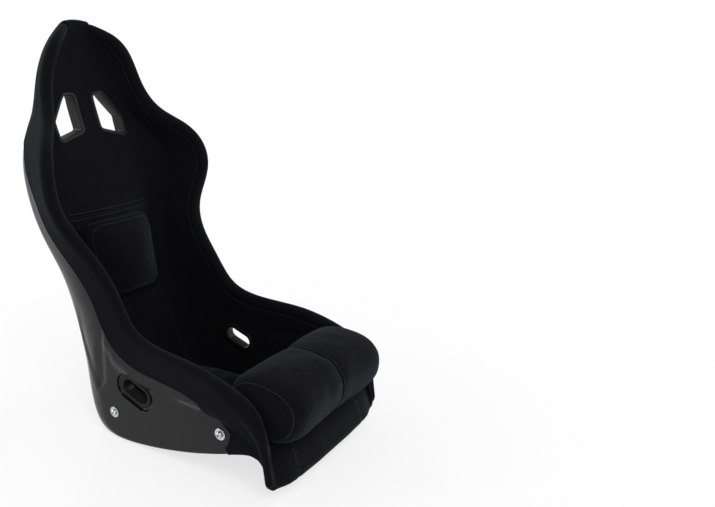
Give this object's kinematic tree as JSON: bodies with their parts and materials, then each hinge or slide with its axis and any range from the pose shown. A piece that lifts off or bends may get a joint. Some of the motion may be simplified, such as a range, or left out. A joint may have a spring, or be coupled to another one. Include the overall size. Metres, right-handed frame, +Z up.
{
  "type": "racing bucket seat",
  "caption": "Fixed-back race seat: glossy shell, velour-covered padding, harness and lap belt openings, side mounts and loose thigh, base and lumbar pads.",
  "frame": {"origin": "centre of the bounding box on the floor plane, under the belly of the shell", "axes": "+Z up, -Y the way the occupant faces, +X the occupant's left"},
  "size_m": [0.541, 0.7556, 0.8996],
  "materials": {
    "gel_coat": "black gel coat on glass fibre, high gloss",
    "velour": "black velour, fine matt pile",
    "foam": "moulded seat foam",
    "trim_plastic": "black plastic, satin",
    "zinc_steel": "bright zinc plate",
    "hook_tape": "black hook-and-loop tape"
  },
  "bodies": {
    "root": {"shell": "gel_coat", "cover": "velour", "foam_head": "foam", "foam_back": "foam", "foam_wing_left": "foam", "foam_wing_right": "foam", "foam_pan": "foam", "foam_side_left": "foam", "foam_side_right": "foam", "rim_foam": "foam", "harness_bezel_front_left": "trim_plastic", "harness_bezel_front_right": "trim_plastic", "harness_bezel_rear_left": "trim_plastic", "harness_bezel_rear_right": "trim_plastic", "crotch_trim_upper": "trim_plastic", "crotch_trim_lower": "trim_plastic", "lap_trim_outer_left": "trim_plastic", "lap_trim_outer_right": "trim_plastic", "lap_trim_inner_left": "trim_plastic", "lap_trim_inner_right": "trim_plastic", "insert_rear_left": "zinc_steel", "insert_front_left": "zinc_steel", "insert_rear_right": "zinc_steel", "insert_front_right": "zinc_steel", "washer_rear_left": "zinc_steel", "washer_front_left": "zinc_steel", "washer_rear_right": "zinc_steel", "washer_front_right": "zinc_steel", "bolt_rear_left": "zinc_steel", "bolt_front_left": "zinc_steel", "bolt_rear_right": "zinc_steel", "bolt_front_right": "zinc_steel", "lumbar_pad": "velour", "base_cushion": "velour", "thigh_cushion": "velour", "lumbar_strip_upper": "hook_tape", "lumbar_strip_lower": "hook_tape", "base_strip_rear": "hook_tape", "base_strip_front": "hook_tape", "thigh_strip": "hook_tape"}
  },
  "joints": []
}
